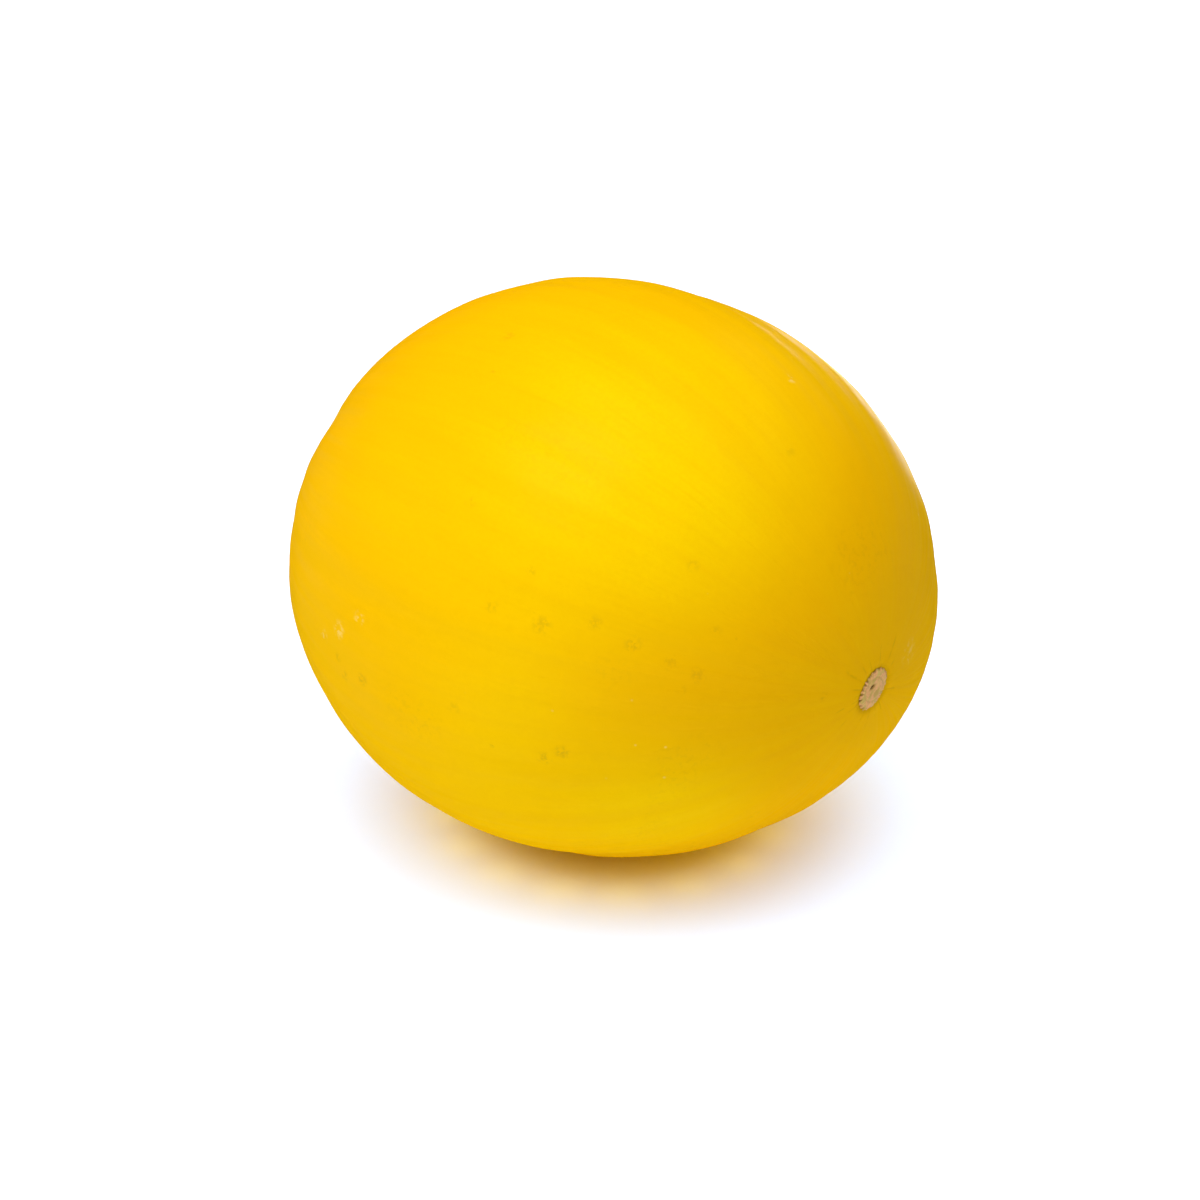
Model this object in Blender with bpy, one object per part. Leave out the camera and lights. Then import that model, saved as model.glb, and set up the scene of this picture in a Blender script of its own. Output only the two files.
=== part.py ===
# Canary melon: one plump fruit lying on its side, and the short stub of its stalk.
# Metres, +Z up. The fruit's long axis runs along +X to the blossom end and dips a little there.
# The origin is on the ground, below the middle of the whole part.
# Round the axis, angles run from +Y (0 degrees) over the top, +Z (90 degrees).

import math
from collections import namedtuple

import bmesh
import bpy
import numpy as np
from mathutils import Matrix, Vector

PART_NAME = "canary_melon"

# Body of the fruit
HALF_LENGTH = 0.0869
HALF_GIRTH = 0.0778
OVAL = 0.026
OVAL_ANGLE = -6
LOBES = 3
LOBE_HEIGHT = 0.017
LOBE_ANGLE = -31
SKEW_TO_SIDE = 0.053
SKEW_UPWARD = 0.022
AXIS_DIP = 4.1

# Lengthwise folds in the rind: where round the axis, how deep, how wide, at what angle from the
# blossom end they are deepest, and how far they reach from there (angles in degrees)
Fold = namedtuple("Fold", "angle depth width place reach")
FOLDS = (
    Fold(angle=14, depth=0.0007, width=10, place=40, reach=35),
    Fold(angle=64, depth=0.0009, width=7, place=95, reach=45),
    Fold(angle=105, depth=0.0002, width=9, place=125, reach=30),
    Fold(angle=140, depth=0.0011, width=9, place=143, reach=25),
    Fold(angle=175, depth=0.0004, width=7, place=138, reach=25),
    Fold(angle=206, depth=0.0006, width=6, place=118, reach=30),
    Fold(angle=236, depth=0.0008, width=5, place=72, reach=35),
    Fold(angle=262, depth=0.0006, width=6, place=42, reach=25),
    Fold(angle=300, depth=0.0003, width=9, place=120, reach=40),
    Fold(angle=335, depth=0.0004, width=9, place=100, reach=40),
)
FOLD_FADE = 0.5

# Blossom scar: a corky disc with a toothed edge, a ring and a pit
SCAR_RADIUS = 0.0059
SCAR_HEIGHT = 0.0004
SCAR_EDGE = 0.0005
TEETH = 17
TOOTH_LENGTH = 0.00025
SIDE_TEETH = 11
SIDE_TOOTH_LENGTH = 0.00015
SIDE_TEETH_TURN = 1
RING_RADIUS = 0.0034
RING_DEPTH = 0.00012
RING_WIDTH = 0.0007
PIT_RADIUS = 0.0011
PIT_DEPTH = 0.0007

# Stem end: a shallow dimple with a flat seat, and the stub that stands on it
DIMPLE_RADIUS = 0.014
DIMPLE_DEPTH = 0.0020
SEAT_RADIUS = 0.0064
SEAT_BLEND = 0.0025
STUB_GAP = 0.0003
STUB_LENGTH = 0.0078
STUB_BASE_RADIUS = 0.0056
STUB_NECK_RADIUS = 0.0035
STUB_END_RADIUS = 0.0039
STUB_FLARE = 0.22
STUB_SWELL_START = 0.4
STUB_RIBS = 5
STUB_RIB_HEIGHT = 0.07
STUB_BEND = 0.0016
STUB_CUT_SLOPE = 0.22

# Underside: the small flat spot that the fruit rests on
REST_DEPTH = 0.0008
REST_SNAP = 0.00006

# Fineness of the surfaces
SLICES = 90
RINGS = 54
STUB_SIDES = 40
STUB_RINGS = 8
SHARP_ANGLE = 35

# Where the rings are packed closer: place is the way along the rind from the blossom end, and
# extra is how many more rings there are there than on the belly
Crowd = namedtuple("Crowd", "place reach extra")
CROWDS = (
    Crowd(place=0, reach=0.012, extra=8),
    Crowd(place=SCAR_RADIUS, reach=0.001, extra=16),
    Crowd(place=math.pi * HALF_GIRTH, reach=0.014, extra=6),
)
ANGLE_STEPS = 4000

RIND = {"name": "rind", "colour": (0.93, 0.56, 0.004, 1), "roughness": 0.42, "metallic": 0}
STEM = {"name": "stem", "colour": (0.30, 0.20, 0.09, 1), "roughness": 0.9, "metallic": 0}


def clear_scene():
    for thing in list(bpy.data.objects):
        bpy.data.objects.remove(thing, do_unlink=True)


def make_material(look):
    material = bpy.data.materials.new(look["name"])
    material.use_nodes = True
    shader = material.node_tree.nodes["Principled BSDF"]
    shader.inputs["Base Color"].default_value = look["colour"]
    shader.inputs["Roughness"].default_value = look["roughness"]
    shader.inputs["Metallic"].default_value = look["metallic"]
    return material


def bell(distance, width):
    return math.exp(-((distance / width) ** 2))


def smooth_step(start, end, value):
    t = min(max((value - start) / (end - start), 0), 1)
    return t * t * (3 - 2 * t)


def turn_between(angle, other):
    """Signed difference of two angles in degrees, from -180 to 180."""
    return (angle - other + 180) % 360 - 180


def fold_depth(polar, turn):
    """Depth of all folds at a polar angle and a turn round the axis, both in radians."""
    depth = 0
    for fold in FOLDS:
        across = bell(turn_between(math.degrees(turn), fold.angle), fold.width)
        along = bell(math.degrees(polar) - fold.place, fold.reach)
        depth += fold.depth * across * along
    return depth * min(1, math.sin(polar) / FOLD_FADE)


def girth(polar, turn):
    """Distance of the surface from the long axis."""
    oval = OVAL * math.cos(2 * (turn - math.radians(OVAL_ANGLE)))
    lobes = LOBE_HEIGHT * math.cos(LOBES * (turn - math.radians(LOBE_ANGLE)))
    return HALF_GIRTH * math.sin(polar) * (1 + oval + lobes) - fold_depth(polar, turn)


def scar_relief(radius, turn):
    """Height of the blossom scar above the rind, at a radius from the axis."""
    side_teeth = SIDE_TOOTH_LENGTH * math.cos(SIDE_TEETH * turn + SIDE_TEETH_TURN)
    edge = SCAR_RADIUS + TOOTH_LENGTH * math.cos(TEETH * turn) + side_teeth
    disc = SCAR_HEIGHT * (1 - smooth_step(edge - SCAR_EDGE, edge + SCAR_EDGE, radius))
    ring = RING_DEPTH * bell(radius - RING_RADIUS, RING_WIDTH)
    pit = PIT_DEPTH * bell(radius, PIT_RADIUS)
    return disc - ring - pit


def seat_position():
    """Place of the stub's flat seat on the long axis."""
    return -HALF_LENGTH + DIMPLE_DEPTH


def skewed(x, y, z):
    """A point of the upright body, with its slices slid along the axis as the fruit grew."""
    return Vector((x + SKEW_TO_SIDE * y + SKEW_UPWARD * z, y, z))


def fruit_point(polar, turn):
    radius = girth(polar, turn)
    x = HALF_LENGTH * math.cos(polar)
    if x > 0:
        x += scar_relief(radius, turn)
    else:
        x += DIMPLE_DEPTH * bell(radius, DIMPLE_RADIUS)
        outside = smooth_step(SEAT_RADIUS, SEAT_RADIUS + SEAT_BLEND, radius)
        x = seat_position() + (x - seat_position()) * outside
    return skewed(x, radius * math.cos(turn), radius * math.sin(turn))


def ring_angles():
    """Polar angles of the rings, packed closer where the ends carry fine relief."""
    angle = np.linspace(0, np.pi, ANGLE_STEPS + 1)
    way = HALF_GIRTH * angle
    density = np.ones_like(way)
    for crowd in CROWDS:
        density += crowd.extra * np.exp(-(((way - crowd.place) / crowd.reach) ** 2))
    count = np.cumsum(density) - density[0]
    return np.interp(np.linspace(0, count[-1], RINGS + 1), count, angle)


def rest_plane(mesh_builder, tilt):
    """Height of the flat spot above the tilted fruit's own middle."""
    lowest = min((tilt @ vertex.co).z for vertex in mesh_builder.verts)
    return lowest + REST_DEPTH


def cut_flat_spot(mesh_builder, tilt, height):
    back = tilt.inverted()
    geometry = mesh_builder.verts[:] + mesh_builder.edges[:] + mesh_builder.faces[:]
    cut = bmesh.ops.bisect_plane(
        mesh_builder,
        geom=geometry,
        dist=REST_SNAP,
        plane_co=back @ Vector((0, 0, height)),
        plane_no=back @ Vector((0, 0, 1)),
        use_snap_center=True,
        clear_inner=True,
    )
    rim = [part for part in cut["geom_cut"] if isinstance(part, bmesh.types.BMEdge)]
    bmesh.ops.contextual_create(mesh_builder, geom=rim)


def finish_object(mesh_builder, name, material, collection, parent):
    bmesh.ops.recalc_face_normals(mesh_builder, faces=mesh_builder.faces[:])
    mesh = bpy.data.meshes.new(name)
    mesh_builder.to_mesh(mesh)
    mesh_builder.free()
    mesh.shade_smooth()
    mesh.set_sharp_from_angle(angle=math.radians(SHARP_ANGLE))
    mesh.materials.append(material)
    thing = bpy.data.objects.new(name, mesh)
    thing.parent = parent
    collection.objects.link(thing)
    return thing


def make_fruit(tilt, collection, parent):
    """The whole melon as one closed body, and the height of its flat spot."""
    builder = bmesh.new()
    bmesh.ops.create_uvsphere(builder, u_segments=SLICES, v_segments=RINGS, radius=1)
    angles = ring_angles()
    for vertex in builder.verts:
        across = math.hypot(vertex.co.x, vertex.co.y)
        ring = round(math.atan2(across, vertex.co.z) / math.pi * RINGS)
        turn = math.atan2(vertex.co.y, vertex.co.x)
        vertex.co = fruit_point(angles[ring], turn)
    height = rest_plane(builder, tilt)
    cut_flat_spot(builder, tilt, height)
    return finish_object(builder, "fruit", make_material(RIND), collection, parent), height


def stub_radius(share, turn):
    """Radius of the stub at a share of its length: flared foot, ribbed neck, swollen cut end."""
    foot = STUB_BASE_RADIUS - STUB_NECK_RADIUS
    swelling = (STUB_END_RADIUS - STUB_NECK_RADIUS) * smooth_step(STUB_SWELL_START, 1, share)
    radius = STUB_NECK_RADIUS + foot * bell(share, STUB_FLARE) + swelling
    return radius * (1 + STUB_RIB_HEIGHT * math.cos(STUB_RIBS * turn))


def make_stem_stub(collection, parent):
    """The cut stalk, a ribbed and slightly bent post on the flat seat."""
    builder = bmesh.new()
    bmesh.ops.create_cone(builder, cap_ends=True, segments=STUB_SIDES, radius1=1, radius2=1, depth=1)
    upright = [edge for edge in builder.edges if abs(edge.verts[0].co.z - edge.verts[1].co.z) > 0.5]
    bmesh.ops.subdivide_edges(builder, edges=upright, cuts=STUB_RINGS)
    foot = seat_position() - STUB_GAP
    for vertex in builder.verts:
        share = vertex.co.z + 0.5
        turn = math.atan2(vertex.co.y, vertex.co.x)
        radius = stub_radius(share, turn)
        y = radius * math.cos(turn) + STUB_BEND * share**2
        z = -radius * math.sin(turn)
        cut = STUB_CUT_SLOPE * radius * math.cos(turn) * share**3
        vertex.co = skewed(foot - STUB_LENGTH * share + cut, y, z)
    return finish_object(builder, "stem_stub", make_material(STEM), collection, parent)


def place_on_ground(axis, pieces, tilt, height):
    """Moves the long axis so that the part stands on Z = 0 with its box centred over the origin."""
    points = [tilt @ vertex.co for piece in pieces for vertex in piece.data.vertices]
    middle_x = (min(p.x for p in points) + max(p.x for p in points)) / 2
    middle_y = (min(p.y for p in points) + max(p.y for p in points)) / 2
    axis.location = (-middle_x, -middle_y, -height)


def build():
    clear_scene()
    collection = bpy.data.collections.new(PART_NAME)
    bpy.context.scene.collection.children.link(collection)
    dip = math.radians(AXIS_DIP)
    tilt = Matrix.Rotation(dip, 3, "Y")
    axis = bpy.data.objects.new("fruit_axis", None)
    axis.rotation_euler = (0, dip, 0)
    collection.objects.link(axis)
    fruit, height = make_fruit(tilt, collection, axis)
    stub = make_stem_stub(collection, axis)
    place_on_ground(axis, (fruit, stub), tilt, height)


build()
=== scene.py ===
import math

import bpy
import numpy as np
from mathutils import Matrix, Vector


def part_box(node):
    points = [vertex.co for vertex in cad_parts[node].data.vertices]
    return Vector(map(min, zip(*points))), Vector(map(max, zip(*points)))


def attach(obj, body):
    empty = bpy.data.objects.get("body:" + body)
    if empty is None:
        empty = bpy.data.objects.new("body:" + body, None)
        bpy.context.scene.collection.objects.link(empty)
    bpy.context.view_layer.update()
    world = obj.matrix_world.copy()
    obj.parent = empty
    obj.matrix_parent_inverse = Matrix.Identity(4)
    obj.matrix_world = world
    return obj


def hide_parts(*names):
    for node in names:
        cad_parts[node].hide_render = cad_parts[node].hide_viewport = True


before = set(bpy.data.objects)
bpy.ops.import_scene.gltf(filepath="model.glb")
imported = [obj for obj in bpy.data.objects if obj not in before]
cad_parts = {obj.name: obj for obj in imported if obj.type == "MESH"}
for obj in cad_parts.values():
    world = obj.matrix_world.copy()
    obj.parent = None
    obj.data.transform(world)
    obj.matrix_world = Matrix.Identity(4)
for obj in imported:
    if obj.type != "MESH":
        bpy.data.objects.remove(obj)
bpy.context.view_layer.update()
print("frame loaded:", ", ".join(sorted(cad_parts)))


# The grown form that every piece follows
form = {
    "halfLength": 0.0869,
    "halfGirth": 0.0778,
    "oval": 0.026,
    "ovalTurn": -6,
    "lobes": 3,
    "lobeHeight": 0.017,
    "lobeTurn": -31,
    "skewToSide": 0.053,
    "skewUpward": 0.022,
    "axisDip": 4.1,
    "restDepth": 0.0008,
    "foldFade": 0.5,
    "dimpleRadius": 0.014,
    "dimpleDepth": 0.0020,
    "seatRadius": 0.0064,
    "seatBlend": 0.0025,
}

# Lengthwise folds: turn, depth, width, place from the blossom end and reach along the rind
folds = [
    {"turn": 14, "depth": 0.0007, "width": 10, "place": 40, "reach": 35},
    {"turn": 64, "depth": 0.0009, "width": 7, "place": 95, "reach": 45},
    {"turn": 105, "depth": 0.0002, "width": 9, "place": 125, "reach": 30},
    {"turn": 140, "depth": 0.0011, "width": 9, "place": 143, "reach": 25},
    {"turn": 175, "depth": 0.0004, "width": 7, "place": 138, "reach": 25},
    {"turn": 206, "depth": 0.0006, "width": 6, "place": 118, "reach": 30},
    {"turn": 236, "depth": 0.0008, "width": 5, "place": 72, "reach": 35},
    {"turn": 262, "depth": 0.0006, "width": 6, "place": 42, "reach": 25},
    {"turn": 300, "depth": 0.0003, "width": 9, "place": 120, "reach": 40},
    {"turn": 335, "depth": 0.0004, "width": 9, "place": 100, "reach": 40},
]

tilt = Matrix.Rotation(math.radians(form["axisDip"]), 3, "Y")


def bell(distance, width):
    return np.exp(-((distance / width) ** 2))


def smoothStep(start, end, value):
    t = np.clip((value - start) / (end - start), 0, 1)
    return t * t * (3 - 2 * t)


def foldDepth(polar, turn):
    depth = np.zeros_like(turn)
    for fold in folds:
        off = (np.degrees(turn) - fold["turn"] + 180) % 360 - 180
        along = bell(np.degrees(polar) - fold["place"], fold["reach"])
        depth += fold["depth"] * bell(off, fold["width"]) * along
    return depth * np.minimum(1, np.sin(polar) / form["foldFade"])


def girthAt(polar, turn):
    oval = form["oval"] * np.cos(2 * (turn - math.radians(form["ovalTurn"])))
    lobes = form["lobeHeight"] * np.cos(form["lobes"] * (turn - math.radians(form["lobeTurn"])))
    return form["halfGirth"] * np.sin(polar) * (1 + oval + lobes) - foldDepth(polar, turn)


seatPlace = form["dimpleDepth"] - form["halfLength"]


def plainBody(polar, turn):  # distance along the axis and distance from it
    radius = girthAt(polar, turn)
    x = form["halfLength"] * np.cos(polar)
    sunk = x + form["dimpleDepth"] * bell(radius, form["dimpleRadius"])
    outside = smoothStep(form["seatRadius"], form["seatRadius"] + form["seatBlend"], radius)
    return np.where(x > 0, x, seatPlace + (sunk - seatPlace) * outside), radius


def leanAndTilt(x, y, z):  # from the upright grown form to the fruit as it lies, still centred
    leant = np.stack([x + form["skewToSide"] * y + form["skewUpward"] * z, y, z], axis=-1)
    return leant @ np.array(tilt).T


def middleOfFruit():  # where the long axis has its middle, so that the form fills its CAD node
    polar, turn = np.meshgrid(np.linspace(0, np.pi, 181), np.radians(np.arange(0, 360, 2)))
    x, radius = plainBody(polar.ravel(), turn.ravel())
    points = leanAndTilt(x, radius * np.cos(turn.ravel()), radius * np.sin(turn.ravel()))
    low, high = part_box("fruit")
    middle = (np.array(low) + np.array(high)) / 2 - (points.min(axis=0) + points.max(axis=0)) / 2
    middle[2] = -points[:, 2].min() - form["restDepth"]
    return middle


middle = middleOfFruit()


def roundBody(name, slices, rings, pointsOf):
    # a closed body of rings between two poles; pointsOf places each ring's share (0 to 1) and turn
    share = np.concatenate([[0], np.repeat(np.arange(1, rings) / rings, slices), [1]])
    turn = np.concatenate([[0], np.tile(np.arange(slices) * 2 * np.pi / slices, rings - 1), [0]])
    points = leanAndTilt(*pointsOf(share, turn)) + middle
    points[:, 2] = np.maximum(points[:, 2], 0)
    here = 1 + np.arange(slices)
    after = 1 + (np.arange(slices) + 1) % slices
    ring = slices * np.arange(rings - 2)[:, None]
    quads = np.stack([here + ring, here + ring + slices, after + ring + slices, after + ring], axis=-1)
    last = len(points) - 1
    lastRing = slices * (rings - 2)
    tips = [(0, int(a), int(b)) for a, b in zip(here, after)]
    tips += [(last, int(b), int(a)) for a, b in zip(here + lastRing, after + lastRing)]
    mesh = bpy.data.meshes.new(name)
    mesh.from_pydata(points.tolist(), [], quads.reshape(-1, 4).tolist() + tips)
    mesh.update()
    mesh.shade_smooth()
    piece = bpy.data.objects.new(name, mesh)
    bpy.context.scene.collection.objects.link(piece)
    print(name, "has", len(mesh.polygons), "faces")
    return piece


class Flow:
    # one socket of a material, taken as a value in an expression
    def __init__(self, tree, socket=None):
        self.tree = tree
        self.socket = socket

    def node(self, kind, settings=None, values=None, output=0):
        made = self.tree.nodes.new(kind)
        for name, value in (settings or {}).items():
            setattr(made, name, value)
        for key, value in (values or {}).items():
            if isinstance(value, Flow):
                self.tree.links.new(value.socket, made.inputs[key])
            else:
                made.inputs[key].default_value = value
        return Flow(self.tree, made.outputs[output] if made.outputs else None)

    def math(self, operation, *values):
        return self.node("ShaderNodeMath", {"operation": operation}, dict(enumerate(values)))

    def vectorMath(self, operation, *values, output=0):
        values = dict(enumerate(values))
        return self.node("ShaderNodeVectorMath", {"operation": operation}, values, output)

    def parts(self):  # a vector's three values
        split = self.node("ShaderNodeSeparateXYZ", {}, {0: self}).socket.node
        return [Flow(self.tree, output) for output in split.outputs]

    def vector(self, x, y, z):
        return self.node("ShaderNodeCombineXYZ", {}, {0: x, 1: y, 2: z})

    def __add__(self, other):
        return self.math("ADD", self, other)

    def __sub__(self, other):
        return self.math("SUBTRACT", self, other)

    def __rsub__(self, other):
        return self.math("SUBTRACT", other, self)

    def __mul__(self, other):
        return self.math("MULTIPLY", self, other)

    def __truediv__(self, other):
        return self.math("DIVIDE", self, other)

    def __pow__(self, other):
        return self.math("POWER", self, other)

    __radd__ = __add__
    __rmul__ = __mul__

    def larger(self, other):
        return self.math("MAXIMUM", self, other)

    def between(self, low, high, toLow=0.0, toHigh=1.0):  # smooth step, also falling
        values = {"Value": self, "From Min": low, "From Max": high, "To Min": toLow, "To Max": toHigh}
        return self.node("ShaderNodeMapRange", {"interpolation_type": "SMOOTHSTEP"}, values)

    def mix(self, low, high):  # one colour where this mask is 0, the other where it is 1
        low, high = [(*colour, 1) if isinstance(colour, tuple) else colour for colour in (low, high)]
        return self.node("ShaderNodeMix", {"data_type": "RGBA"}, {0: self, 6: low, 7: high}, output=2)

    def noise(self, scale, detail=2.0, roughness=0.5):
        values = {"Vector": self, "Scale": scale, "Detail": detail, "Roughness": roughness}
        return self.node("ShaderNodeTexNoise", {}, values)

    def patches(self, scale, detail, low, high, strength=1.0, roughness=0.5):
        # noise with soft edges: 0 where it is under low, strength where it is over high
        return self.noise(scale, detail, roughness).between(low, high, 0, strength)

    def dots(self, scale):  # distance to the nearest scattered point, in cells
        return self.node("ShaderNodeTexVoronoi", {}, {"Vector": self, "Scale": scale})

    def distanceTo(self, point):
        return self.vectorMath("DISTANCE", self, tuple(point), output=1)


def cosine(value):  # of an array or of a socket, so that a mesh and its material share one formula
    return value.math("COSINE", value) if isinstance(value, Flow) else np.cos(value)


def swayingWave(turn, count, sway):  # waves round the axis; sway crowds them: reach, count and start
    reach, swayCount, start = sway
    return cosine(turn * count + reach * cosine(turn * swayCount + start))


def newMaterial(name):
    material = bpy.data.materials.new(name)
    material.use_nodes = True
    material.node_tree.nodes.clear()
    return material, Flow(material.node_tree)


def layered(colour, look, layers):  # each mask lays the named colour over what comes before it
    for mask, name in layers:
        colour = mask.mix(colour, look[name])
    return colour


def unevenRoughness(here, look):
    low, high = look["roughness"] - look["roughnessSpread"], look["roughness"] + look["roughnessSpread"]
    return here.noise(look["roughnessScale"]).between(0.3, 0.7, low, high)


def closeMaterial(flow, values, height=None):  # height is relief in metres for the bump
    if height is not None:
        values["Normal"] = flow.node("ShaderNodeBump", {}, {"Height": height, "Distance": 1})
    shader = flow.node("ShaderNodeBsdfPrincipled", {}, values)
    flow.node("ShaderNodeOutputMaterial", {}, {"Surface": shader})


def grownPlace(flow):
    # object coordinates taken back to the upright form: along the axis, from it, and round it
    here = flow.node("ShaderNodeTexCoord", output=3)
    centred = flow.vectorMath("SUBTRACT", here, tuple(middle))
    upright = flow.node(
        "ShaderNodeVectorRotate",
        {"rotation_type": "Y_AXIS", "invert": True},
        {"Vector": centred, "Angle": math.radians(form["axisDip"])},
    )
    leant, side, up = upright.parts()
    along = leant - side * form["skewToSide"] - up * form["skewUpward"]
    return {
        "here": here,
        "grown": flow.vector(along, side, up),
        "along": along,
        "away": flow.math("SQRT", side * side + up * up),
        "side": side,
        "up": up,
        "turn": flow.math("ARCTAN2", up, side),
    }


def streakPlace(place, acrossScale, alongScale):
    # coordinates that are stretched lengthwise and have no seam round the axis
    side = place["side"] / place["away"] * acrossScale
    up = place["up"] / place["away"] * acrossScale
    return side.vector(place["along"] * alongScale, side, up)


def streaks(place, acrossScale, alongScale, *patches):  # lengthwise patches
    return streakPlace(place, acrossScale, alongScale).patches(1.0, *patches)


def markPoint(polar, turn):  # a place on the rind, in the upright form
    polar, turn = np.radians([polar]), np.radians([turn])
    x, radius = plainBody(polar, turn)
    return float(x[0]), float(radius[0] * np.cos(turn[0])), float(radius[0] * np.sin(turn[0]))


# In the dictionaries below, a Sway goes to swayingWave, and Patches and Grain go to Flow.patches, with
# the noise's scale and detail first. Streaks have two scales, across and along. A Zone goes to
# Flow.between: where a smooth step starts and ends, then what it gives there, if not 0 and 1.

# Blossom scar: a corky disc of ragged tongues, with a ring and a slit-like pit
scar = {
    "slices": 310,
    "rings": 90,
    "radius": 0.0056,
    "oval": 0.11,
    "ovalTurn": -33,
    "height": 0.0003,
    "edge": 0.0004,
    "thickness": 0.0009,
    "topShare": 0.8,
    "undersideBlend": 0.3,
    "teeth": 21,
    "toothSway": (0.9, 4, 1),
    "fineTeeth": 34,
    "fineToothSway": (1.8, 3, 0),
    "fineToothShare": 0.35,
    "toothLength": 0.0005,
    "toothChange": 0.2,
    "toothChangeCount": 7,
    "toothChangeStart": 2,
    "openTurn": 160,
    "shutShare": 0.35,
    "gapDepth": 0.00005,
    "gapStart": 0.6,
    "gapWaveZone": (0.3, -0.4),
    "gapStainAndShadeZone": (0.0004, 0, 0, 0.75),
    "ringRadius": 0.0034,
    "ringDepth": 0.00012,
    "ringWidth": 0.0004,
    "ringStainWidth": 0.0005,
    "ringStain": 0.4,
    "pitPlace": (-0.0009, 0.0011),
    "pitLength": 0.0008,
    "pitWidth": 0.0003,
    "pitTurn": 24,
    "pitDepth": 0.0007,
    "pitZone": (1.25, 0.7),
    "pitHaloZone": (2.0, 1.0, 0, 0.5),
    "grainHeight": 0.00004,
    "grainWaves": 40,
    "grainSizes": (0.0006, 0.0025),
    "seed": 5,
    "pinkPatches": (480, 1, 0.42, 0.58),
    "olivePatches": (520, 1, 0.5, 0.62, 0.9),
    "brownPatches": (1500, 2, 0.5, 0.65, 0.3),
    "heartPatches": (500, 2, 0.35, 0.6, 0.75),
    "fibreStreaks": (14, 0, 3, 0.48, 0.66, 0.55),
    "fibreZone": (0.001, 0.004),
    "corkColour": (0.76, 0.40, 0.11),
    "pinkColour": (0.80, 0.37, 0.13),
    "oliveColour": (0.60, 0.39, 0.08),
    "brownColour": (0.49, 0.26, 0.05),
    "pitColour": (0.18, 0.055, 0.002),
    # dark brown of the gaps between the tongues: partly browned tissue, partly painted shade in the
    # crevices
    "scarGapBrownAndShade": (0.30, 0.14, 0.02),
    "roughness": 0.85,
    "roughnessSpread": 0.08,
    "roughnessScale": 700,
    "bumpScale": 1800,
    "bumpHeight": 0.00008,
    "shine": 0.2,
}


def toothWave(turn):  # -1 in a gap, 1 at a tongue's tip, uneven in width and depth
    broad = swayingWave(turn, scar["teeth"], scar["toothSway"])
    fine = swayingWave(turn, scar["fineTeeth"], scar["fineToothSway"])
    return (1 - scar["fineToothShare"]) * broad + scar["fineToothShare"] * fine


def openSide(turn):  # 1 where the tongues stand apart, 0 on the far side, where they are grown shut
    return 0.5 + 0.5 * cosine(turn - math.radians(scar["openTurn"]))


def toothReach(turn):  # a tongue's share of the full length: each is different, and the shut ones short
    change = scar["toothChange"] * cosine(turn * scar["toothChangeCount"] + scar["toothChangeStart"])
    opened = scar["shutShare"] + (1 - scar["shutShare"]) * openSide(turn)
    return opened * (1 - scar["toothChange"] + change)


def scarRim(turn):  # the disc is a little narrower one way
    oval = 1 + cosine((turn - math.radians(scar["ovalTurn"])) * 2)
    return scar["radius"] * (1 - scar["oval"] * oval)


def scarEdge(turn):
    return scarRim(turn) + scar["toothLength"] * toothWave(turn) * toothReach(turn)


def scarGrain(y, z):  # fine corky roughness, alike in every direction
    draw = np.random.default_rng(scar["seed"])
    height = np.zeros_like(y)
    for _ in range(scar["grainWaves"]):
        way = draw.uniform(0, 2 * np.pi)
        pace = 2 * np.pi / draw.uniform(*scar["grainSizes"])
        height += np.cos(pace * (y * np.cos(way) + z * np.sin(way)) + draw.uniform(0, 6))
    return height * scar["grainHeight"] / math.sqrt(scar["grainWaves"])


def pitDistance(y, z):  # in units of the pit's own oval
    lie = math.radians(scar["pitTurn"])
    offY, offZ = y - scar["pitPlace"][0], z - scar["pitPlace"][1]
    lengthwise = (offY * math.cos(lie) + offZ * math.sin(lie)) / scar["pitLength"]
    across = (offZ * math.cos(lie) - offY * math.sin(lie)) / scar["pitWidth"]
    return lengthwise, across


def rindAbove(radius):  # how far along the axis the plain rind lies at a small radius
    return form["halfLength"] * np.sqrt(1 - (radius / form["halfGirth"]) ** 2)


def scarPoints(share, turn):
    top = share <= scar["topShare"]
    spread = np.where(top, share / scar["topShare"], (1 - share) / (1 - scar["topShare"]))
    edge = scarEdge(turn)
    radius = spread * (edge + scar["edge"] / 2)
    y, z = radius * np.cos(turn), radius * np.sin(turn)
    disc = scar["height"] * (1 - smoothStep(edge - scar["edge"], edge + scar["edge"] / 2, radius))
    ring = scar["ringDepth"] * bell(radius - scar["ringRadius"], scar["ringWidth"])
    lengthwise, across = pitDistance(y, z)
    pit = scar["pitDepth"] * np.exp(-(lengthwise**2) - across**2)
    relief = disc - ring - pit + scarGrain(y, z) * smoothStep(0, 1, disc / scar["height"])
    relief -= scar["gapDepth"] * (1 - toothWave(turn)) * smoothStep(scar["gapStart"], 1, spread)
    under = -scar["thickness"] * smoothStep(0, scar["undersideBlend"], 1 - spread)
    return rindAbove(radius) + np.where(top, relief, under), y, z


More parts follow.
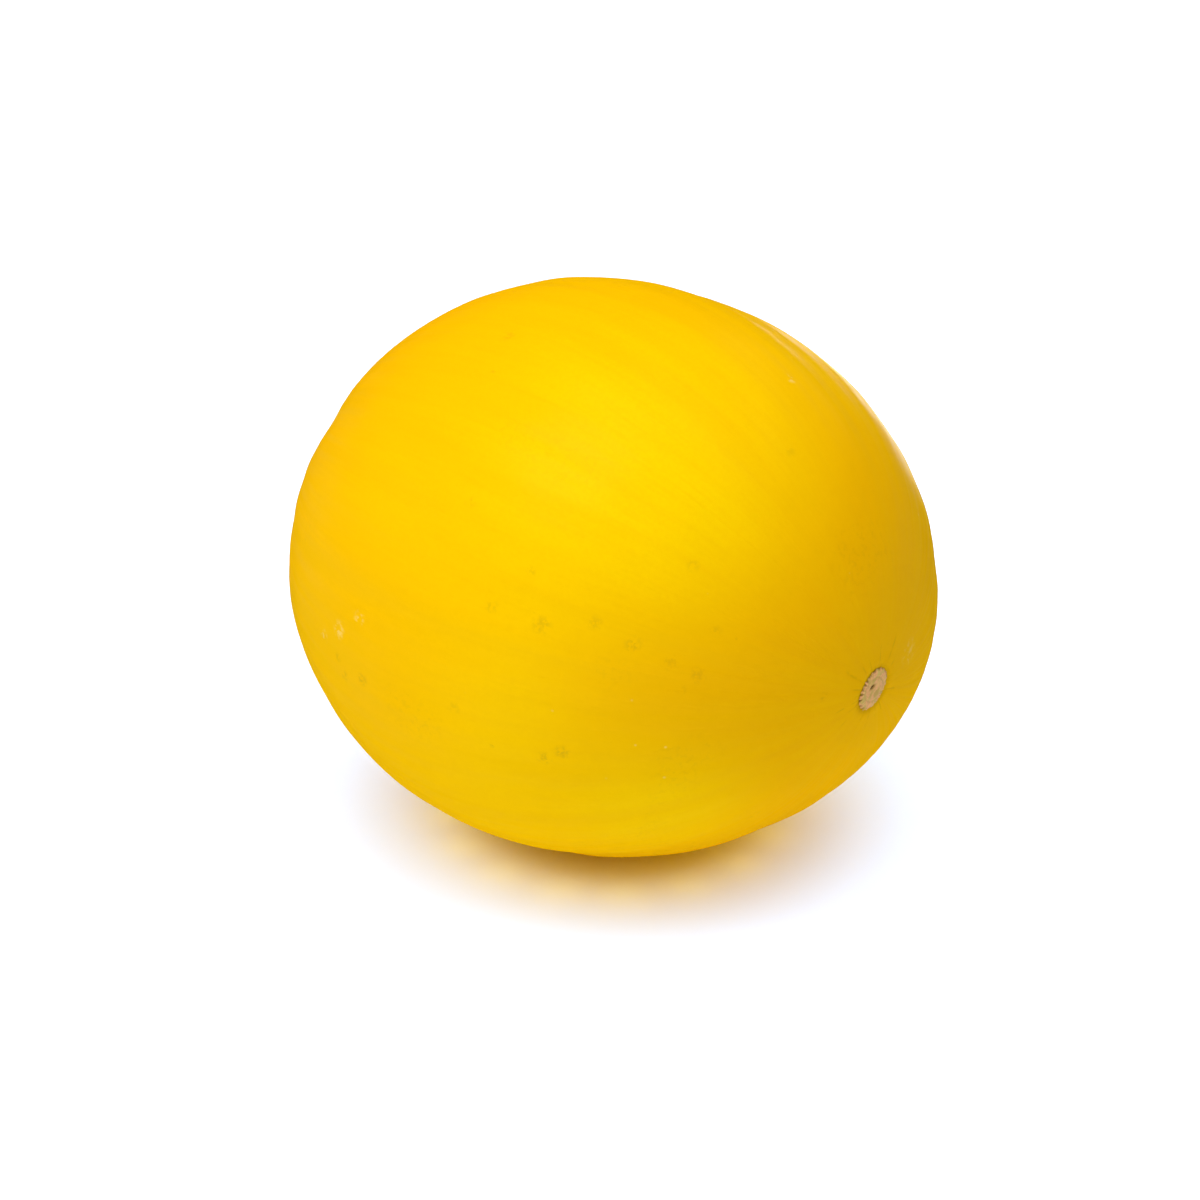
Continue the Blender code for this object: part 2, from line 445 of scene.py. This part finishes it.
def makeScarMaterial():
    material, flow = newMaterial("corkyScar")
    place = grownPlace(flow)
    here, away, turn = place["here"], place["away"], place["turn"]
    ring, ringReach = scar["ringRadius"], scar["ringStainWidth"]
    onRing = away.between(ring - ringReach, ring) * away.between(ring + ringReach, ring)
    gaps = toothWave(turn).between(*scar["gapWaveZone"]) * toothReach(turn)
    lengthwise, across = pitDistance(place["side"], place["up"])
    pit = flow.math("SQRT", lengthwise * lengthwise + across * across)
    colour = layered(scar["corkColour"], scar, [
        (here.patches(*scar["pinkPatches"]), "pinkColour"),
        (here.patches(*scar["olivePatches"]), "oliveColour"),
        (here.patches(*scar["brownPatches"]), "brownColour"),
        (streaks(place, *scar["fibreStreaks"]) * away.between(*scar["fibreZone"]), "brownColour"),
        (here.patches(*scar["heartPatches"]) * away.between(ring, ring / 2), "brownColour"),
        (onRing * scar["ringStain"], "brownColour"),
        # dark brown in the gaps between the tongues, partly browned tissue and partly painted shade in
        # the crevices
        ((scarEdge(turn) - away).between(*scar["gapStainAndShadeZone"]) * gaps, "scarGapBrownAndShade"),
        (pit.between(*scar["pitHaloZone"]), "brownColour"),
        (pit.between(*scar["pitZone"]), "pitColour"),
    ])
    closeMaterial(flow, {
        "Base Color": colour,
        "Roughness": unevenRoughness(here, scar),
        "Specular IOR Level": scar["shine"],
    }, here.noise(scar["bumpScale"], 3) * scar["bumpHeight"])
    return material


def makeScar():
    piece = roundBody("blossomScar", scar["slices"], scar["rings"], scarPoints)
    piece.data.materials.append(makeScarMaterial())
    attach(piece, "root")
    return piece


# Rind
rind = {
    "slices": 480,
    "rings": 204,
    "crowding": 0.3,
    "seed": 11,
    "lengthwiseWaves": 14,
    "lengthwiseCounts": (9, 40),
    "lengthwiseHeight": 0.00003,
    "fineWaves": 10,
    "fineCounts": (44, 84),
    "fineHeight": 0.000012,
    "waveDrift": 1.5,
    "swellShare": 0.4,
    "dentWaves": 20,
    "dentSizes": (0.012, 0.030),
    "dentHeight": 0.00002,
    "puckers": 19,
    "puckerSway": (1.7, 2, 1),
    "finePuckers": 31,
    "finePuckerShare": 0.5,
    "puckerDepth": 0.00022,
    "puckerPeak": 0.010,
    "puckerReach": 0.020,
    "collarHeight": 0.0003,
    "collarWidth": 0.0009,
    "moatHeight": 0.00018,
    "moatPlace": 1.45,
    "moatWidth": 0.0016,
    "rimWidth": 0.0008,
    "scarSink": 0.0004,
    "sinkZone": (0.0016, 0.0008),
    "scarLines": 23,
    "lineSway": (2.1, 3, 0.5),
    "lineSharpness": 6,
    "lineLength": 0.0065,
    "lineStart": 0.0005,
    "lineFade": 0.0024,
    "creaseDepth": 0.00006,
    "creaseLength": 1.3,
    "colour": (0.865, 0.473, 0.0005),
    "deepColour": (0.80, 0.41, 0.0005),
    "lightColour": (0.885, 0.51, 0.0006),
    # The flank colour lays lighter yellow where the light falls brightest, partly painted light; the
    # blossom and stem colours lay deeper, darker yellow on the ends, partly painted shade, over the
    # rind's own tone
    "flankToneAndPaintedLight": (0.88, 0.575, 0.0006),
    "blossomToneAndPaintedShade": (0.77, 0.35, 0.0005),
    "stemToneAndPaintedShade": (0.88, 0.405, 0.0005),
    "oliveColour": (0.52, 0.36, 0.004),
    "fleckColour": (0.40, 0.20, 0.008),
    "paleColour": (0.92, 0.66, 0.20),
    # dark brown of the rind between the scar's tongues: partly browned rind, partly painted shade in the
    # crevices
    "rindGapBrownAndShade": (0.27, 0.12, 0.008),
    "lineColour": (0.50, 0.255, 0.001),
    "lightPatches": (16, 1, 0.35, 0.65, 0.4),
    "blossomZone": (0.3, 0.95, 0, 0.8),
    "stemZone": (-0.1, -0.9, 0, 0.8),
    "broadStreaks": (7, 10, 2, 0.4, 0.7, 0.3),
    "fineStreaks": (30, 30, 2, 0.45, 0.75, 0.18),
    "specklePatches": (900, 1, 0.35, 0.65, 0.12),
    "endBlend": 0.02,
    "lineStain": 0.4,
    "linePatches": (330, 1, 0.4, 0.6),
    "haloZone": (0.0020, 0.0003, 0, 0.3),
    "gapZone": (0.0007, 0.0001),
    "gapWaveZone": (0.4, -0.3, 0.3, 1),
    "greenZone": (0.026, 0.009, 0, 0.5),
    "greenStreaks": (8, 0),
    "crackPatches": (380, 3, 0.5, 0.62, 0.7),
    "crackZone": (0.014, 0.0075),
    "markHeart": 0.2,
    "fleckStain": 0.45,
    "fleckGrain": (800, 3, 0.42, 0.62, 1, 0.6),
    "strayPatches": (26, 1, 0.60, 0.72),
    "strayGrain": (700, 3, 0.5, 0.66, 0.25, 0.6),
    "poreScale": 55,
    "poreZone": (0.028, 0.012, 0, 0.3),
    "scuffGrain": (700, 2, 0.5, 0.62),
    "paleDotScale": 140,
    "paleDotZone": (0.07, 0.03, 0, 0.35),
    "paleDotPatches": (30, 1, 0.55, 0.65),
    "paleRoughness": 0.2,
    "bumpScale": 650,
    "bumpHeight": 0.00006,
    "wrinkleStreaks": (60, 60),
    "wrinkleHeight": 0.0001,
    "fleckDepth": 0.00003,
    "roughness": 0.45,
    "roughnessSpread": 0.05,
    "roughnessScale": 90,
    "waxStreaks": (22, 25),
    "waxZone": (0.35, 0.65, 0.06, 0.24),
    "waxBend": 1.1,
    "waxRoughness": 0.28,
}

# Broad patches where the rind's yellow is a little greener or riper; the lighter flank patches are partly
# painted light where the lamps fall brightest, and the deeper patch at the stem-side edge is partly
# painted shade
toneAndLightPatches = [
    {"polar": 64, "turn": 120, "reach": 0.060, "heart": 0.010, "strength": 0.8, "colour": "flankToneAndPaintedLight"},
    {"polar": 102, "turn": 186, "reach": 0.062, "heart": 0.010, "strength": 0.5, "colour": "stemToneAndPaintedShade"},
    {"polar": 44, "turn": 211, "reach": 0.036, "heart": 0.004, "strength": 0.45, "colour": "flankToneAndPaintedLight"},
]

# Marks on the rind: degrees from the blossom end, turn, size and how strong
brownFlecks = [
    {"polar": 74, "turn": 161, "size": 0.0022, "strength": 0.5},
    {"polar": 65, "turn": 161, "size": 0.0034, "strength": 0.6},
    {"polar": 57, "turn": 157, "size": 0.0026, "strength": 0.5},
    {"polar": 50, "turn": 159, "size": 0.0030, "strength": 0.6},
    {"polar": 43, "turn": 161, "size": 0.0028, "strength": 0.4},
    {"polar": 38, "turn": 163, "size": 0.0030, "strength": 0.5},
    {"polar": 40, "turn": 168, "size": 0.0020, "strength": 0.4},
    {"polar": 102, "turn": 188, "size": 0.0024, "strength": 0.6},
    {"polar": 97, "turn": 186, "size": 0.0026, "strength": 0.7},
    {"polar": 104, "turn": 185, "size": 0.0020, "strength": 0.5},
    {"polar": 70, "turn": 189, "size": 0.0011, "strength": 1.0},
    {"polar": 61, "turn": 190, "size": 0.0026, "strength": 0.7},
    {"polar": 58, "turn": 188, "size": 0.0028, "strength": 0.8},
    {"polar": 77, "turn": 183, "size": 0.0024, "strength": 0.4},
    {"polar": 70, "turn": 152, "size": 0.0018, "strength": 0.5},
    {"polar": 85, "turn": 145, "size": 0.0024, "strength": 0.4},
    {"polar": 101, "turn": 111, "size": 0.0030, "strength": 0.4},
    {"polar": 97, "turn": 120, "size": 0.0012, "strength": 0.5},
    {"polar": 49, "turn": 95, "size": 0.0022, "strength": 0.3},
    {"polar": 62, "turn": 103, "size": 0.0012, "strength": 0.3},
    {"polar": 38, "turn": 149, "size": 0.0022, "strength": 0.4},
    {"polar": 33, "turn": 234, "size": 0.0026, "strength": 0.5},
    {"polar": 47, "turn": 136, "size": 0.0024, "strength": 0.4},
    {"polar": 13, "turn": 168, "size": 0.0020, "strength": 0.5},
]
paleScuffs = [
    {"polar": 109, "turn": 183, "size": 0.0026, "strength": 0.35},
    {"polar": 104, "turn": 179, "size": 0.0034, "strength": 0.4},
    {"polar": 99, "turn": 174, "size": 0.0026, "strength": 0.35},
    {"polar": 62, "turn": 79, "size": 0.0022, "strength": 0.6},
    {"polar": 12, "turn": 15, "size": 0.0050, "strength": 0.2},
]


def lineWave(turn):  # 1 along each fine line that runs out from the scar
    return swayingWave(turn, rind["scarLines"], rind["lineSway"])


def lineReach(turn):  # the lines are of unlike lengths
    return rind["lineLength"] * (1 + 0.4 * cosine(turn * 5 + 1.1) + 0.3 * cosine(turn * 13))


def rindWaves(polar, turn, x, radius):
    # low swells: long ones that run from end to end, and round dents with no direction
    draw = np.random.default_rng(rind["seed"])
    height = np.zeros_like(turn)
    for waves in ("lengthwise", "fine"):
        for _ in range(rind[waves + "Waves"]):
            count = draw.integers(*rind[waves + "Counts"])
            drift = draw.uniform(-rind["waveDrift"], rind["waveDrift"])
            swell = rind["swellShare"] * np.cos(draw.uniform(1, 3) * polar + draw.uniform(0, 6))
            swell += 1 - rind["swellShare"]
            wave = np.cos(count * turn + drift * polar + draw.uniform(0, 6))
            height += rind[waves + "Height"] * swell * wave
    height *= np.sin(polar)
    points = np.stack([x, radius * np.cos(turn), radius * np.sin(turn)])
    for _ in range(rind["dentWaves"]):
        way = draw.normal(size=3)
        way *= 2 * np.pi / draw.uniform(*rind["dentSizes"]) / np.linalg.norm(way)
        height += rind["dentHeight"] * np.cos(way @ points + draw.uniform(0, 6))
    return height


def scarSurround(turn, radius):
    # the rind sinks under the scar, swells a little round it and is creased by the fine lines
    edge = scarRim(turn)
    moat = bell(radius - edge * rind["moatPlace"], rind["moatWidth"])
    moat -= bell(radius - edge, rind["rimWidth"])
    sinkStart, sinkEnd = rind["sinkZone"]
    sink = 1 - smoothStep(edge - sinkStart, edge - sinkEnd, radius)
    crease = np.clip(lineWave(turn), 0, 1) ** rind["lineSharpness"]
    crease *= smoothStep(edge - rind["lineStart"], edge + rind["lineStart"], radius)
    crease *= 1 - smoothStep(edge, edge + lineReach(turn) * rind["creaseLength"], radius)
    return rind["moatHeight"] * moat - rind["scarSink"] * sink - rind["creaseDepth"] * crease


def stemSurround(turn, radius):  # puckers that run in to the stalk, and a low collar round its foot
    wave = swayingWave(turn, rind["puckers"], rind["puckerSway"])
    wave += rind["finePuckerShare"] * cosine(turn * rind["finePuckers"] + 2)
    pucker = rind["puckerDepth"] * wave * smoothStep(form["seatRadius"], rind["puckerPeak"], radius)
    end = rind["puckerReach"] * (1 + 0.3 * cosine(turn * 5))
    pucker *= 1 - smoothStep(rind["puckerPeak"], end, radius)
    return pucker + rind["collarHeight"] * bell(radius - form["seatRadius"], rind["collarWidth"])


def rindPoints(share, turn):
    polar = share * np.pi - rind["crowding"] * np.sin(2 * np.pi * share)
    x, radius = plainBody(polar, turn)
    lift = rindWaves(polar, turn, x, radius)
    lift += np.where(x > 0, scarSurround(turn, radius), stemSurround(turn, radius))
    radius = radius + lift * np.sin(polar)
    x = x + lift * np.cos(polar)
    return x, radius * np.cos(turn), radius * np.sin(turn)


def markMask(place, marks):  # strongest at the heart of each mark, falling to 0 at its size
    mask = None
    for mark in marks:
        far = place["grown"].distanceTo(markPoint(mark["polar"], mark["turn"]))
        zone = far.between(mark["size"], mark["size"] * rind["markHeart"], 0, mark["strength"])
        mask = zone if mask is None else mask.larger(zone)
    return mask


def rindHue(place):  # the broad colour: deeper and darker at both ends, lighter on the belly, faintly streaked; the darker ends are partly painted shade and the lighter belly partly painted light, laid over the rind's own tone
    cosPolar = place["along"] / form["halfLength"]
    layers = [
        (place["here"].patches(*rind["lightPatches"]), "lightColour"),
        (cosPolar.between(*rind["blossomZone"]), "blossomToneAndPaintedShade"),
    ]
    for patch in toneAndLightPatches:
        far = place["grown"].distanceTo(markPoint(patch["polar"], patch["turn"]))
        zone = far.between(patch["reach"], patch["heart"], 0, patch["strength"])
        layers.append((zone, patch["colour"]))
    return layers + [
        (cosPolar.between(*rind["stemZone"]), "stemToneAndPaintedShade"),
        (streaks(place, *rind["broadStreaks"]), "deepColour"),
        (streaks(place, *rind["fineStreaks"]), "deepColour"),
        (place["here"].patches(*rind["specklePatches"]), "deepColour"),
    ]


def stemStains(place):  # greenish, cracked and browned close to the stalk
    away = place["away"]
    stemSide = place["along"].between(0, -rind["endBlend"])
    green = away.between(*rind["greenZone"]) * streakPlace(place, *rind["greenStreaks"]).noise(1.0)
    cracks = place["here"].patches(*rind["crackPatches"]) * away.between(*rind["crackZone"])
    return [(green * stemSide, "oliveColour"), (cracks * stemSide, "fleckColour")]


def scarStains(place):  # fine lines that run out from the scar, a halo, and the brown gaps at its rim, whose dark brown is partly browned rind and partly painted shade in the crevices between the tongues
    turn = place["turn"]
    past = place["away"] - scarRim(turn)
    blossomSide = place["along"].between(0, rind["endBlend"])
    broken = place["here"].patches(*rind["linePatches"])
    line = (lineWave(turn).larger(0) ** rind["lineSharpness"]) * broken
    line = line * past.between(-rind["lineStart"], rind["lineStart"])
    line = line * (past - lineReach(turn)).between(0, -rind["lineFade"])
    gap = toothWave(turn).between(*rind["gapWaveZone"]) * toothReach(turn)
    gap = gap * past.between(*rind["gapZone"]) * (broken * 0.5 + 0.5)
    return [
        (line * blossomSide * rind["lineStain"], "lineColour"),
        (past.between(*rind["haloZone"]) * blossomSide, "lineColour"),
        (gap * blossomSide, "rindGapBrownAndShade"),
    ]


def makeRindMaterial():
    material, flow = newMaterial("waxyRind")
    place = grownPlace(flow)
    here = place["here"]
    stray = here.patches(*rind["strayPatches"]) * here.patches(*rind["strayGrain"])
    pores = here.dots(rind["poreScale"]).between(*rind["poreZone"])
    flecks = markMask(place, brownFlecks) * here.patches(*rind["fleckGrain"])
    flecks = flecks.larger(stray).larger(pores)
    paleDots = here.dots(rind["paleDotScale"]).between(*rind["paleDotZone"])
    paleDots = paleDots * here.patches(*rind["paleDotPatches"])
    pale = (markMask(place, paleScuffs) * here.patches(*rind["scuffGrain"])).larger(paleDots)
    marks = [(flecks * rind["fleckStain"], "fleckColour"), (pale, "paleColour")]
    layers = rindHue(place) + stemStains(place) + scarStains(place) + marks
    wrinkles = streakPlace(place, *rind["wrinkleStreaks"]).noise(1.0) * rind["wrinkleHeight"]
    height = here.noise(rind["bumpScale"]) * rind["bumpHeight"] + wrinkles - flecks * rind["fleckDepth"]
    closeMaterial(flow, {
        "Base Color": layered(rind["colour"], rind, layers),
        "Roughness": unevenRoughness(here, rind) + pale * rind["paleRoughness"],
        "Specular IOR Level": 0,
        "Coat Weight": streakPlace(place, *rind["waxStreaks"]).noise(1.0, 3).between(*rind["waxZone"]),
        "Coat IOR": rind["waxBend"],
        "Coat Roughness": rind["waxRoughness"],
    }, height)
    return material


def makeRind():
    piece = roundBody("melonRind", rind["slices"], rind["rings"], rindPoints)
    piece.data.materials.append(makeRindMaterial())
    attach(piece, "root")
    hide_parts("fruit")
    return piece


# Stem stub: the dry stalk, cut off short, on the seat of the far dimple
stub = {
    "slices": 220,
    "rings": 110,
    "gap": 0.0003,
    "length": 0.0078,
    "footRadius": 0.0056,
    "neckRadius": 0.0035,
    "endRadius": 0.0039,
    "flare": 0.22,
    "swellStart": 0.4,
    "ribs": 5,
    "ribHeight": 0.07,
    "fibres": 34,
    "fibreSway": (1.6, 3),
    "fibreTwist": 4,
    "coarseFibres": 13,
    "coarseShare": 0.6,
    "fibreHeight": 0.02,
    "collarPlace": 0.12,
    "collarWidth": 0.05,
    "collarHeight": 0.03,
    "bend": 0.0016,
    "cutSlope": 0.22,
    "cutGrain": 17,
    "cutGrainSway": (5, 4, 0),
    "cutGrainHeight": 0.00007,
    "hollow": 0.0012,
    "pithRadius": 0.0011,
    "grainAlong": 90,
    "grainAcross": 900,
    "greenPatches": (1.0, 3, 0.35, 0.65),
    "barkPatches": (300, 2, 0.45, 0.65, 0.6),
    "darkPatches": (1.8, 3, 0.56, 0.7, 0.8),
    "footZone": (0.2, 0.03),
    "footPatches": (450, 2, 0.4, 0.6),
    "cutPatches": (1400, 2, 0.4, 0.6, 0.6),
    "cutZone": (0.80, 0.88),
    "barkShare": (0.93, 0.85),
    "grainBump": 0.00015,
    "fineBump": 0.00005,
    "fineBumpScale": 1500,
    "barkColour": (0.34, 0.24, 0.09),
    "greenColour": (0.20, 0.19, 0.05),
    "darkColour": (0.10, 0.06, 0.02),
    "cutColour": (0.58, 0.44, 0.24),
    "pithColour": (0.16, 0.10, 0.04),
    "roughness": 0.85,
    "roughnessSpread": 0.08,
    "roughnessScale": 400,
    "shine": 0.25,
}
# The outline from the foot's middle to the middle of the cut: path share, length share, reach
stubOutline = [(0, 0, 0), (0.08, 0, 1), (0.72, 1, 1), (0.76, 1.03, 0.96), (0.80, 1.02, 0.86), (1, 1, 0)]


def stubRadius(along, turn):
    swelling = (stub["endRadius"] - stub["neckRadius"]) * smoothStep(stub["swellStart"], 1, along)
    foot = (stub["footRadius"] - stub["neckRadius"]) * bell(along, stub["flare"])
    ribs = stub["ribHeight"] * np.cos(stub["ribs"] * turn)
    fibres = swayingWave(turn, stub["fibres"], (*stub["fibreSway"], stub["fibreTwist"] * along))
    coarse = stub["coarseFibres"] * turn + 2 * np.cos(2 * turn) - 3 * along
    fibres += stub["coarseShare"] * np.cos(coarse)
    collar = stub["collarHeight"] * bell(along - stub["collarPlace"], stub["collarWidth"])
    collar *= 1 + 0.5 * np.cos(9 * turn)
    return (stub["neckRadius"] + foot + swelling) * (1 + ribs + stub["fibreHeight"] * fibres + collar)


def stubPoints(share, turn):
    paths, lengths, reaches = np.array(stubOutline).T
    along = np.interp(share, paths, lengths)
    reach = np.interp(share, paths, reaches)
    level = np.minimum(along, 1)
    radius = stubRadius(level, turn) * reach
    onCut = share > paths[-2]
    sunk = stub["hollow"] * np.where(onCut, 1 - reach / reaches[-2], 0) ** 0.5
    grain = swayingWave(turn, stub["cutGrain"], stub["cutGrainSway"]) * np.where(onCut, reach, 0)
    y = radius * np.cos(turn) + stub["bend"] * level**2
    cut = stub["cutSlope"] * radius * np.cos(turn) * level**3
    x = seatPlace - stub["gap"] - stub["length"] * along + cut + sunk + stub["cutGrainHeight"] * grain
    return x, y, radius * np.sin(turn)


def makeStubMaterial():
    material, flow = newMaterial("dryStalk")
    place = grownPlace(flow)
    here = place["here"]
    along = (seatPlace - stub["gap"] - place["along"]) / stub["length"]
    side = place["side"] - along * along * stub["bend"]
    away = flow.math("SQRT", side * side + place["up"] * place["up"])
    across = stub["grainAcross"]
    grain = flow.vector(place["along"] * stub["grainAlong"], side * across, place["up"] * across)
    bark = layered(stub["barkColour"], stub, [
        (grain.patches(*stub["greenPatches"]), "greenColour"),
        (here.patches(*stub["barkPatches"]), "barkColour"),
        (grain.patches(*stub["darkPatches"]), "darkColour"),
        (along.between(*stub["footZone"]) * here.patches(*stub["footPatches"]), "cutColour"),
    ])
    ends = flow.vector(0.0, side, place["up"])
    cutWood = layered(stub["cutColour"], stub, [
        (ends.patches(*stub["cutPatches"]), "barkColour"),
        (away.between(stub["pithRadius"], stub["pithRadius"] * 0.6), "pithColour"),
    ])
    insideRim = away.between(*(stub["endRadius"] * share for share in stub["barkShare"]))
    height = grain.noise(1.0, 3) * stub["grainBump"]
    height = height + here.noise(stub["fineBumpScale"]) * stub["fineBump"]
    closeMaterial(flow, {
        "Base Color": (along.between(*stub["cutZone"]) * insideRim).mix(bark, cutWood),
        "Roughness": unevenRoughness(here, stub),
        "Specular IOR Level": stub["shine"],
    }, height)
    return material


def makeStub():
    piece = roundBody("stemStub", stub["slices"], stub["rings"], stubPoints)
    piece.data.materials.append(makeStubMaterial())
    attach(piece, "root")
    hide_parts("stem_stub")
    return piece


melonPieces = [makeRind(), makeScar(), makeStub()]


# Floor
floorLook = {"size": 40, "drop": 0.00005, "colour": (0.90, 0.90, 0.90), "roughness": 0.9}


def makeFloor():
    bpy.ops.mesh.primitive_plane_add(size=floorLook["size"], location=(0, 0, -floorLook["drop"]))
    floor = bpy.context.object
    floor.name = "whiteFloor"
    floor.visible_glossy = False
    material, flow = newMaterial("plainWhite")
    closeMaterial(flow, {
        "Base Color": (*floorLook["colour"], 1),
        "Roughness": floorLook["roughness"],
        "Specular IOR Level": 0,
    })
    floor.data.materials.append(material)
    return floor


whiteFloor = makeFloor()

# Soft lights round the fruit: azimuth as the camera's, elevation above the floor, width in metres
melonLights = [
    {"name": "keySoftbox", "azimuth": 0.6, "elevation": 62, "width": 0.9, "power": 19.3},
    {"name": "topSoftbox", "azimuth": 0, "elevation": 89, "width": 0.9, "power": 5.0},
    {"name": "sideSoftbox", "azimuth": 130.6, "elevation": 60, "width": 0.9, "power": 4.4},
    {"name": "leftSoftbox", "azimuth": -49.4, "elevation": 15, "width": 0.9, "power": 1.5},
    {"name": "backSoftbox", "azimuth": 180, "elevation": 30, "width": 0.9, "power": 2.3},
    {"name": "rimSoftbox", "azimuth": 204, "elevation": -12, "width": 0.4, "power": 5},
    {"name": "warmBounce", "azimuth": 55, "elevation": -55, "width": 0.9, "power": 2.0,
     "colour": (1, 0.32, 0)},
]
# Broad light that whitens the floor: spread is the width of its part of the sky, in degrees
floorLights = [
    {"name": "tableTop", "azimuth": 0, "elevation": 89.9, "spread": 100, "power": 5.3},
    {"name": "tableFront", "azimuth": 25, "elevation": 53, "spread": 50, "power": 1.0},
    {"name": "tableLeft", "azimuth": -49.4, "elevation": 45, "spread": 40, "power": 0.85},
    {"name": "tableRight", "azimuth": 130.6, "elevation": 50, "spread": 50, "power": 0.75},
]
floorTint = (0.62, 0.77, 1)
lightDistance = 1.5
# The light that the rind throws onto the floor round the spot it rests on, as a ring of small lamps
rindGlow = {"lamps": 16, "radius": 0.045, "height": 0.01, "power": 0.0008, "colour": (1, 0.8, 0)}
sky = {"seenStrength": 1.0, "strength": 0.02}


def directionOf(azimuth, elevation):
    turn, rise = math.radians(azimuth), math.radians(elevation)
    return Vector((math.sin(turn) * math.cos(rise), -math.cos(turn) * math.cos(rise), math.sin(rise)))


def makeGroup(name, things):
    group = bpy.data.collections.new(name)
    for thing in things:
        group.objects.link(thing)
    return group


def makeLamp(name, data, place, way, lit, shading=None):
    lamp = bpy.data.objects.new(name, data)
    lamp.location = place
    lamp.rotation_euler = way.to_track_quat("Z", "Y").to_euler()
    bpy.context.scene.collection.objects.link(lamp)
    lamp.light_linking.receiver_collection = lit
    if shading:
        lamp.light_linking.blocker_collection = shading


def makeDisc(light):
    data = bpy.data.lights.new(light["name"], "AREA")
    data.shape = "DISK"
    data.size = light["width"]
    data.energy = light["power"]
    data.color = light.get("colour", (1, 1, 1))
    return data


def makeLights():
    melonGroup = makeGroup("melonLit", melonPieces)
    floorGroup = makeGroup("floorLit", [whiteFloor])
    heart = Vector(middle)
    for light in melonLights:
        way = directionOf(light["azimuth"], light["elevation"])
        spot = heart + way * lightDistance
        makeLamp(light["name"], makeDisc(light), spot, way, melonGroup, melonGroup)
    for light in floorLights:
        data = bpy.data.lights.new(light["name"], "SUN")
        data.angle = math.radians(light["spread"])
        data.energy = light["power"]
        data.color = floorTint
        way = directionOf(light["azimuth"], light["elevation"])
        makeLamp(light["name"], data, heart + way * lightDistance, way, floorGroup)
    data = bpy.data.lights.new("rindGlow", "POINT")
    data.shadow_soft_size = 0
    data.energy = rindGlow["power"]
    data.color = rindGlow["colour"]
    for turn in np.arange(rindGlow["lamps"]) * 2 * np.pi / rindGlow["lamps"]:
        spot = Vector((heart.x, heart.y, rindGlow["height"]))
        spot += rindGlow["radius"] * Vector((math.cos(turn), math.sin(turn), 0))
        makeLamp("rindGlow", data, spot, Vector((0, 0, 1)), floorGroup, floorGroup)


def makeSky():  # seen white behind the floor's far edge, while it lights the fruit only faintly
    world = bpy.data.worlds.new("paleSky")
    world.use_nodes = True
    world.node_tree.nodes.clear()
    flow = Flow(world.node_tree)
    seen = flow.node("ShaderNodeLightPath", output=0)
    strength = seen * (sky["seenStrength"] - sky["strength"]) + sky["strength"]
    paint = flow.node("ShaderNodeBackground", {}, {"Color": (1, 1, 1, 1), "Strength": strength})
    flow.node("ShaderNodeOutputWorld", {}, {"Surface": paint})
    bpy.context.scene.world = world


makeLights()
makeSky()
print("lights:", ", ".join(light["name"] for light in melonLights + floorLights))

# Camera: photoMiddle is where the fruit's middle lies in the photo, photoSide the photo's side
camera = {
    "azimuth": 40.6,
    "elevation": 26,
    "distance": 0.9,
    "lens": 101.7,
    "sensor": 36,
    "photoSide": 1200,
    "photoMiddle": (612.1, 568.1),
}


def makeCamera():
    data = bpy.data.cameras.new("photoCamera")
    data.lens = camera["lens"]
    data.sensor_width = camera["sensor"]
    data.clip_end = 100
    eye = bpy.data.objects.new("photoCamera", data)
    back = directionOf(camera["azimuth"], camera["elevation"])
    right = directionOf(camera["azimuth"] + 90, 0)
    up = back.cross(right)
    perPixel = camera["sensor"] / camera["photoSide"] / camera["lens"] * camera["distance"]
    offRight = (camera["photoMiddle"][0] - camera["photoSide"] / 2) * perPixel
    offUp = (camera["photoSide"] / 2 - camera["photoMiddle"][1]) * perPixel
    eye.location = Vector(middle) + back * camera["distance"]
    aim = Vector(middle) - right * offRight - up * offUp
    eye.rotation_euler = (eye.location - aim).to_track_quat("Z", "Y").to_euler()
    bpy.context.scene.collection.objects.link(eye)
    bpy.context.scene.camera = eye


makeCamera()

view = bpy.context.scene.view_settings
view.view_transform = "Standard"
view.look = "None"
view.exposure = 0
view.gamma = 1
